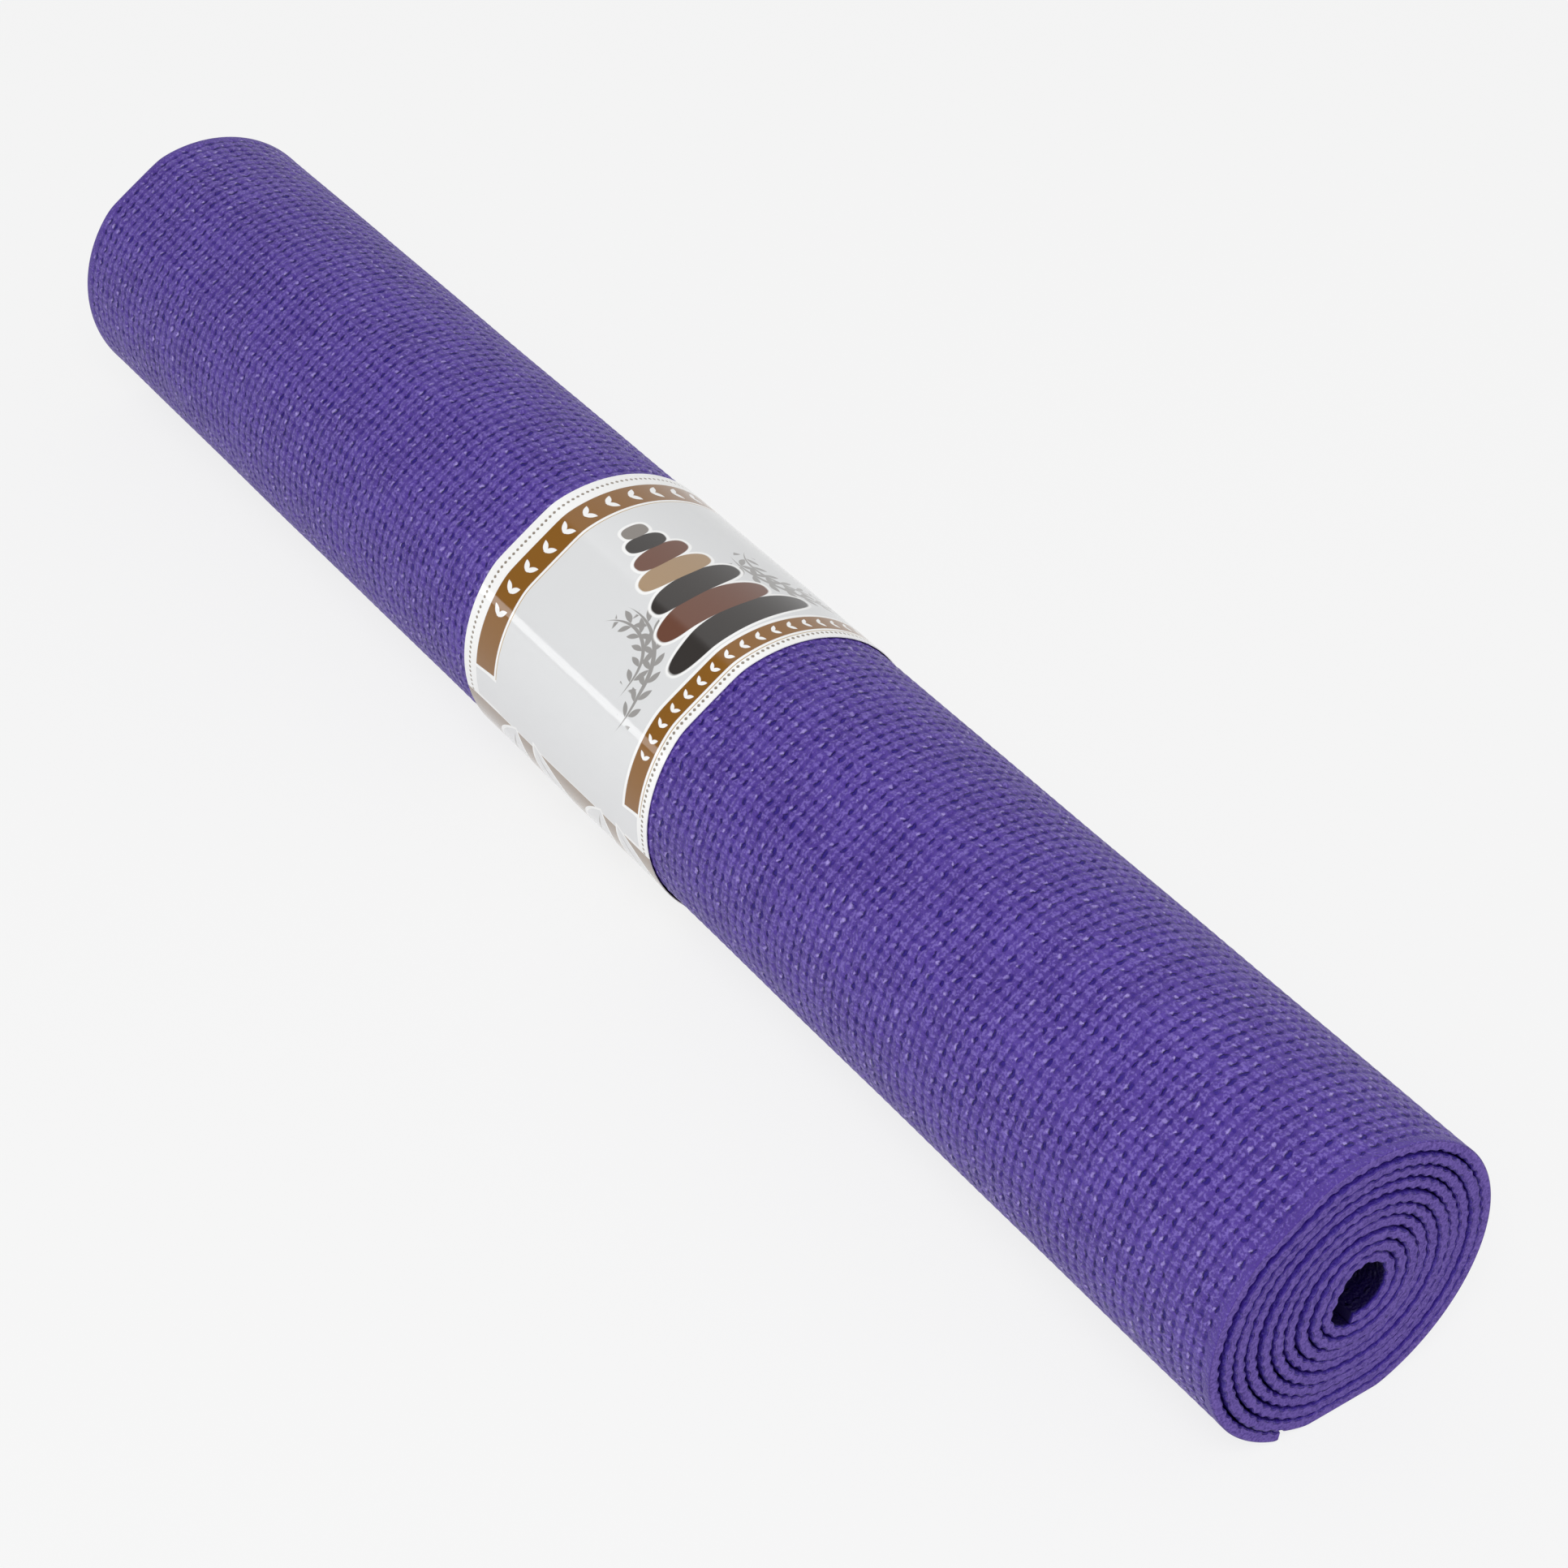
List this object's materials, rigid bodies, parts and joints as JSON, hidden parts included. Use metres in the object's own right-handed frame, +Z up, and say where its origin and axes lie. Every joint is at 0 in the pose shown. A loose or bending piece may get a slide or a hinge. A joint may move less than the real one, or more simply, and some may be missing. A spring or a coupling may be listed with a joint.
{
  "type": "yoga mat",
  "caption": "Foam yoga mat with a fine waffle texture, rolled up round an open centre and held by a printed paper sleeve that slides along the roll.",
  "frame": {"origin": "below the middle of the roll, on the surface it lies on", "axes": "+X along the roll towards the end whose sleeve edge lies further from the middle, +Z up, and the free edge of the sheet low on the -Y side"},
  "size_m": [0.61, 0.0946, 0.091],
  "materials": {
    "pvc_foam": "soft PVC foam with a fine waffle texture and a low sheen",
    "polyester_net": "open polyester net coated with foam",
    "printed_paper": "printed paper with a gloss film",
    "dry_glue": "dried hot glue"
  },
  "bodies": {
    "mat_roll": {"outer_foam_coat": "pvc_foam", "polyester_scrim": "polyester_net", "inner_foam_coat": "pvc_foam"},
    "sleeve": {"paper_sleeve": "printed_paper", "sleeve_glue_strip": "dry_glue"}
  },
  "joints": [
    {"name": "sleeve_slide", "type": "slide", "parent": "mat_roll", "child": "sleeve", "axis": [1, 0, 0], "range_m": [-0.2571, 0.2513]}
  ]
}
